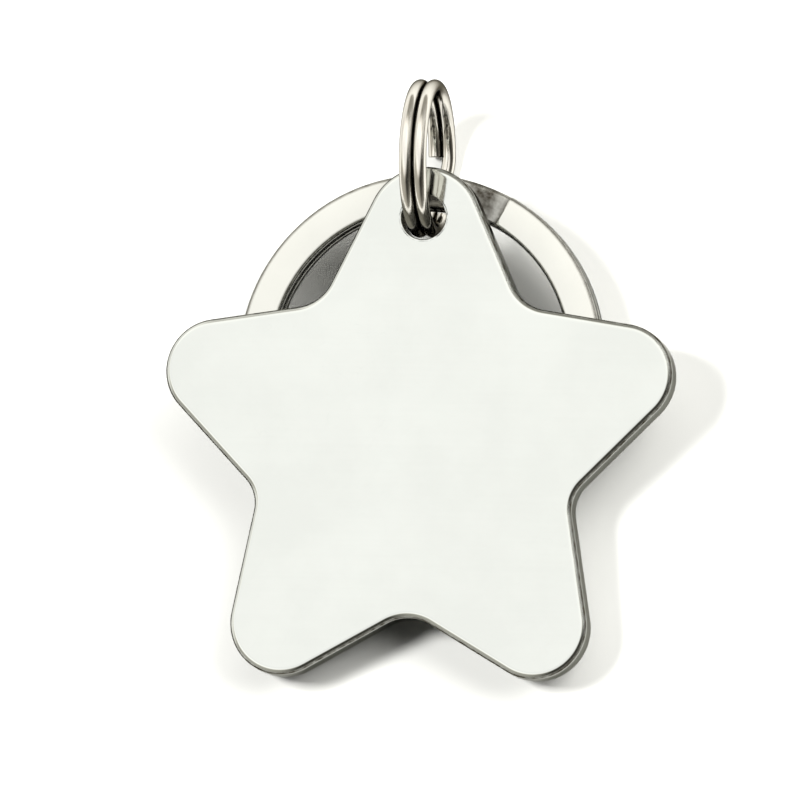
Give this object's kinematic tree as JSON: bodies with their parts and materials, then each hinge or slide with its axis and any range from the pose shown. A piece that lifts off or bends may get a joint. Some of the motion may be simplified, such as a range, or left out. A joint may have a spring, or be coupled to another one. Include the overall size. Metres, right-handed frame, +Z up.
{
  "type": "pet id tag",
  "caption": "Polished star shaped pet id tag hung by a small round wire split ring on a flat split key ring, for fastening to a collar",
  "frame": {"origin": "bottom centre of the box round the whole set, on the table it lies on", "axes": "+X to the right of the plate's face, +Y from its feet to its top tip, where the rings are, +Z up from the table"},
  "size_m": [0.039, 0.0456, 0.012],
  "materials": {
    "plate_steel": "mirror polished stainless steel with hairline wear",
    "round_wire": "bright nickel plated round spring wire",
    "flat_wire": "bright nickel plated flat spring wire"
  },
  "bodies": {
    "key_ring": {"key_ring": "flat_wire"},
    "wire_ring": {"wire_ring": "round_wire"},
    "star_tag": {"star_tag": "plate_steel"}
  },
  "joints": [
    {"name": "ring_swing", "type": "hinge", "parent": "key_ring", "child": "wire_ring", "pos_m": [-0.0002, 0.01676, 0.006], "axis": [-1, 0, 0], "range_deg": [0, 70]},
    {"name": "tag_swing", "type": "hinge", "parent": "wire_ring", "child": "star_tag", "pos_m": [-0.0002, 0.01676, 0.006], "axis": [-1, 0, 0], "range_deg": [0, 180]}
  ]
}
